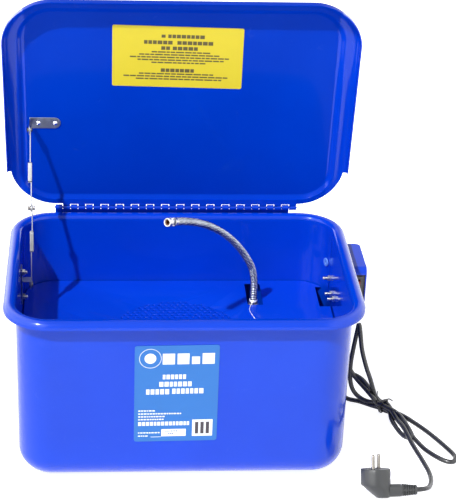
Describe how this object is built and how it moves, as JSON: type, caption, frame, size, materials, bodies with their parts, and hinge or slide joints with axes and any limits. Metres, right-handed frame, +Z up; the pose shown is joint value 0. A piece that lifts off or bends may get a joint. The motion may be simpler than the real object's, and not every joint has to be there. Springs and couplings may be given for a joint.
{
  "type": "parts washer tank",
  "caption": "Bench-top parts washer: drawn steel tub with rolled rim, hinged lid on a folding stay, perforated shelf, pump with flexible spout, switch box and mains cord.",
  "frame": {"origin": "floor level under the centre of the tub", "axes": "+Z up, -Y towards the front where the user stands, +X to the user's right (switch box side)"},
  "size_m": [0.6189, 0.3669, 0.5903],
  "materials": {
    "blue_paint": "glossy royal blue enamel",
    "zinc": "zinc-plated steel",
    "solder": "dull low-melting solder lap",
    "hose_metal": "bright braided metal hose",
    "brass": "machined brass",
    "black_plastic": "moulded black plastic",
    "black_rubber": "black rubber",
    "grey_plastic": "dark grey moulded plastic",
    "red_plastic": "dark red rocker",
    "blue_plastic": "blue-grey grommet",
    "ivory_plastic": "off-white moulded plastic",
    "copper": "copper windings",
    "label_blue": "light blue vinyl sticker",
    "label_yellow": "yellow vinyl sticker"
  },
  "bodies": {
    "tub": {"tank": "blue_paint", "rubber_feet": "black_rubber", "front_label": "label_blue", "drain_bung": "blue_paint", "drain_gasket": "black_rubber", "hinge_leaf_tank": "blue_paint", "hinge_pin": "zinc", "stay_lower_pivot_rivet": "zinc", "stay_wall_bracket": "zinc", "stay_wall_screws": "zinc", "stay_wall_nuts": "zinc", "swivel_fitting": "zinc", "outlet_tube": "black_rubber", "tube_clamps": "zinc", "pump_volute": "black_plastic", "pump_stator": "copper", "pump_motor_housing": "black_plastic", "pump_feet": "black_rubber", "intake_screen": "black_plastic", "pump_cable": "black_rubber", "cable_gland": "black_plastic", "gland_nut": "black_plastic", "switch_box": "blue_paint", "box_back_plate": "zinc", "switch_plate": "grey_plastic", "switch_body": "black_plastic", "switch_terminals": "brass", "box_screws": "zinc", "box_nuts": "zinc", "box_grommet": "blue_plastic", "cord_relief": "black_rubber", "power_cord": "black_rubber", "plug_body": "black_plastic", "plug_pins": "zinc"},
    "lid": {"hinge_leaf_lid": "blue_paint", "lid": "blue_paint", "lid_label": "label_yellow", "lid_bracket": "zinc", "lid_bracket_rivets": "zinc", "stay_upper_pivot_rivet": "zinc"},
    "stay_upper": {"stay_upper_arm_top": "zinc", "stay_upper_link": "solder", "stay_upper_arm_bottom": "zinc", "stay_elbow_tail": "zinc"},
    "stay_lower": {"stay_lower_arm_top": "zinc", "stay_lower_link": "solder", "stay_lower_arm_bottom": "zinc", "stay_elbow_rivet": "zinc"},
    "shelf": {"shelf": "blue_paint", "shelf_legs": "blue_paint"},
    "spout_base": {"spout_nut": "zinc", "spout_lower": "hose_metal"},
    "spout": {"spout_upper": "hose_metal", "spout_ferrule": "zinc", "spout_nozzle": "brass"},
    "pump_rotor": {"pump_impeller": "ivory_plastic", "pump_shaft": "zinc", "pump_rotor": "zinc"},
    "rocker": {"switch_rocker": "red_plastic"},
    "drain_plug": {"drain_plug": "zinc"}
  },
  "joints": [
    {"name": "lid_hinge", "type": "hinge", "parent": "tub", "child": "lid", "pos_m": [0, 0.1624, 0.2645], "axis": [1, 0, 0], "range_deg": [0, 82]},
    {"name": "stay_lower_pivot", "type": "hinge", "parent": "tub", "child": "stay_lower", "pos_m": [-0.204, 0.0454, 0.202], "axis": [1, 0, 0], "range_deg": [0, 116.7]},
    {"name": "stay_upper_pivot", "type": "hinge", "parent": "lid", "child": "stay_upper", "pos_m": [-0.205, 0.12961, 0.39723], "axis": [1, 0, 0], "range_deg": [-105.1, 0]},
    {"name": "shelf_lift", "type": "slide", "parent": "tub", "child": "shelf", "axis": [0, 0, 1], "range_m": [0, 0.016]},
    {"name": "spout_swivel", "type": "hinge", "parent": "tub", "child": "spout_base", "pos_m": [0.1075, 0.081, 0.16], "axis": [0, 0, 1], "range_deg": [-55, 12]},
    {"name": "spout_bend", "type": "hinge", "parent": "spout_base", "child": "spout", "pos_m": [0.10748, 0.08098, 0.18053], "axis": [0.7337, -0.6794, 0], "range_deg": [0, 33]},
    {"name": "impeller_spin", "type": "hinge", "parent": "tub", "child": "pump_rotor", "pos_m": [0.06, 0.081, 0.04], "axis": [1, 0, 0], "continuous": true},
    {"name": "switch_rock", "type": "hinge", "parent": "tub", "child": "rocker", "pos_m": [0.2475, 0.058, 0.195], "axis": [1, 0, 0], "range_deg": [-12, 0]},
    {"name": "drain_plug_turn", "type": "hinge", "parent": "tub", "child": "drain_plug", "pos_m": [-0.14, 0.06, 0.005], "axis": [0, 0, 1], "continuous": true}
  ],
  "couplings": [
    {"joint": "stay_lower_pivot", "follows": "lid_hinge", "ratio": 1.417},
    {"joint": "stay_upper_pivot", "follows": "lid_hinge", "ratio": -1.2756},
    {"joint": "spout_bend", "follows": "lid_hinge", "ratio": 0.39024}
  ]
}
